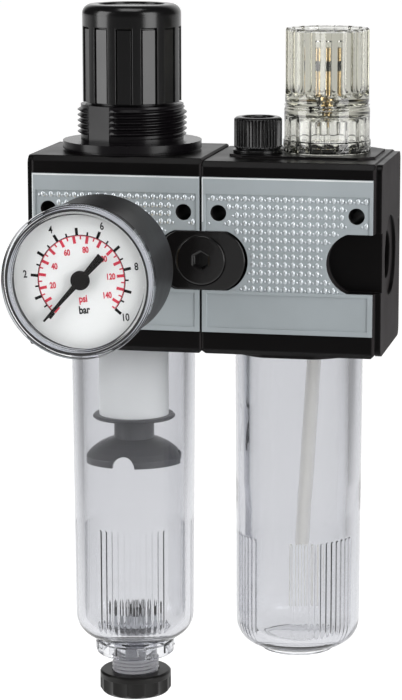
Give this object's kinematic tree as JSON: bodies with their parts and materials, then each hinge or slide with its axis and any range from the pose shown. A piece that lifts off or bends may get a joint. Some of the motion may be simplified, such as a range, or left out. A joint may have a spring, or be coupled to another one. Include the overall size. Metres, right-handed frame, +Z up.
{
  "type": "filter regulator lubricator",
  "caption": "Compressed-air service unit: filter regulator with gauge and setting knob, coupled to an oil-mist lubricator, with clear bowls, drain and threaded ports.",
  "frame": {"origin": "centre of the inlet port mouth, on the floor of the round recess in the left end plate", "axes": "+X along the air flow from inlet to outlet, -Y towards the gauge and faceplates, +Z up towards the setting knob"},
  "size_m": [0.0966, 0.0828, 0.1943],
  "materials": {
    "housing_black": "satin black coated die casting",
    "plate_silver": "silver lacquer, beaded field",
    "coupling_black": "glossy black moulding",
    "knob_black": "satin black moulding",
    "bonnet_black": "fine satin black moulding",
    "bowl_clear": "clear polycarbonate",
    "tube_clear": "clear plastic tube",
    "dome_amber": "amber tinted clear polyamide",
    "gauge_clear": "clear window moulding",
    "gauge_black": "dark satin case",
    "dial_white": "white printed dial",
    "pointer_black": "matt black lacquer",
    "brass": "turned brass",
    "steel": "zinc plated steel",
    "rubber_black": "nitrile rubber",
    "element_white": "sintered white polyethylene",
    "internals_grey": "dark grey moulding",
    "drain_black": "satin black moulding"
  },
  "bodies": {
    "housing": {"filter_regulator_body": "housing_black", "lubricator_body": "housing_black", "regulator_faceplate": "plate_silver", "lubricator_faceplate": "plate_silver", "coupling_key": "coupling_black", "interface_o_ring": "rubber_black", "regulator_bonnet": "bonnet_black", "setting_spring": "steel", "diaphragm": "rubber_black", "valve_seat": "brass", "valve_spring": "steel", "valve_carrier": "internals_grey", "filter_element": "element_white", "element_retainer": "internals_grey", "umbrella_baffle": "internals_grey", "gauge_case": "gauge_black", "gauge_window": "gauge_clear", "gauge_dial": "dial_white", "gauge_stem": "brass", "bourdon_tube": "brass", "gauge_movement": "brass", "rear_port_plug": "coupling_black", "siphon_tube": "tube_clear", "venturi_insert": "brass", "sight_dome": "dome_amber", "dome_o_ring": "rubber_black", "drip_tube": "brass"},
    "setting_screw": {"setting_screw": "steel"},
    "knob": {"regulator_knob": "knob_black"},
    "nut": {"spring_nut": "steel"},
    "diaphragm_disc": {"diaphragm_plate": "steel", "relief_seat": "brass"},
    "poppet": {"valve_poppet": "brass"},
    "pointer": {"gauge_pointer": "pointer_black"},
    "lock": {"coupling_lock": "coupling_black"},
    "filter_bowl_seal": {"filter_bowl_o_ring": "rubber_black"},
    "filter_bowl": {"filter_bowl": "bowl_clear"},
    "drain_valve": {"drain_plunger": "drain_black", "drain_o_ring": "rubber_black"},
    "drain_knob": {"drain_knob": "drain_black"},
    "oil_bowl_seal": {"lubricator_bowl_o_ring": "rubber_black"},
    "oil_bowl": {"lubricator_bowl": "bowl_clear"},
    "plug_seal": {"filler_plug_o_ring": "rubber_black"},
    "filler_plug": {"filler_plug": "knob_black"},
    "metering": {"metering_knob": "dome_amber", "metering_needle": "brass", "needle_seal": "rubber_black"},
    "ball": {"check_ball": "steel"}
  },
  "joints": [
    {"name": "lock_turn", "type": "hinge", "parent": "housing", "child": "lock", "pos_m": [0.0473, -0.019, 0], "axis": [0, 1, 0], "range_deg": [0, 90]},
    {"name": "setting_turn", "type": "hinge", "parent": "housing", "child": "setting_screw", "pos_m": [0.02395, 0.0005, 0.06], "axis": [0, 0, -1], "range_deg": [0, 1440]},
    {"name": "knob_lift", "type": "slide", "parent": "setting_screw", "child": "knob", "axis": [0, 0, 1], "range_m": [0, 0.0035]},
    {"name": "nut_travel", "type": "slide", "parent": "housing", "child": "nut", "axis": [0, 0, -1], "range_m": [0, 0.006], "deforming": ["setting_spring"]},
    {"name": "diaphragm_travel", "type": "slide", "parent": "housing", "child": "diaphragm_disc", "axis": [0, 0, -1], "range_m": [0, 0.0015], "stiffness_N_per_m": 1500, "deforming": ["diaphragm"]},
    {"name": "valve_travel", "type": "slide", "parent": "housing", "child": "poppet", "axis": [0, 0, -1], "range_m": [0, 0.0015], "deforming": ["valve_spring"]},
    {"name": "pointer_turn", "type": "hinge", "parent": "housing", "child": "pointer", "pos_m": [0.02395, -0.059, 0], "axis": [0, 1, 0], "range_deg": [0, 270]},
    {"name": "filter_bowl_drop", "type": "slide", "parent": "housing", "child": "filter_bowl_seal", "axis": [0, 0, -1], "range_m": [0, 0.0081]},
    {"name": "filter_bowl_turn", "type": "hinge", "parent": "filter_bowl_seal", "child": "filter_bowl", "pos_m": [0.02395, 0.0005, -0.03], "axis": [0, 0, -1], "range_deg": [0, 1440]},
    {"name": "drain_lift", "type": "slide", "parent": "filter_bowl", "child": "drain_valve", "axis": [0, 0, 1], "range_m": [0, 0.0026]},
    {"name": "drain_turn", "type": "hinge", "parent": "drain_valve", "child": "drain_knob", "pos_m": [0.02395, 0.0005, -0.124], "axis": [0, 0, 1], "range_deg": [0, 900]},
    {"name": "oil_bowl_drop", "type": "slide", "parent": "housing", "child": "oil_bowl_seal", "axis": [0, 0, -1], "range_m": [0, 0.0081]},
    {"name": "oil_bowl_turn", "type": "hinge", "parent": "oil_bowl_seal", "child": "oil_bowl", "pos_m": [0.07065, 0.0005, -0.03], "axis": [0, 0, -1], "range_deg": [0, 1440]},
    {"name": "plug_rise", "type": "slide", "parent": "housing", "child": "plug_seal", "axis": [0, 0, 1], "range_m": [0, 0.00505]},
    {"name": "plug_turn", "type": "hinge", "parent": "plug_seal", "child": "filler_plug", "pos_m": [0.0593, -0.001, 0.03], "axis": [0, 0, 1], "range_deg": [0, 1800]},
    {"name": "metering_turn", "type": "hinge", "parent": "housing", "child": "metering", "pos_m": [0.0771, 0.0059, 0.05], "axis": [0, 0, 1], "range_deg": [0, 720]},
    {"name": "ball_lift", "type": "slide", "parent": "housing", "child": "ball", "axis": [0, 0, 1], "range_m": [0, 0.0012]}
  ],
  "couplings": [
    {"joint": "nut_travel", "follows": "setting_turn", "m_per_rad": 0.00023873},
    {"joint": "valve_travel", "follows": "diaphragm_travel", "ratio": 1},
    {"joint": "filter_bowl_drop", "follows": "filter_bowl_turn", "m_per_rad": 0.00031831},
    {"joint": "drain_lift", "follows": "drain_turn", "m_per_rad": 0.00015915},
    {"joint": "oil_bowl_drop", "follows": "oil_bowl_turn", "m_per_rad": 0.00031831},
    {"joint": "plug_rise", "follows": "plug_turn", "m_per_rad": 0.00015915}
  ]
}
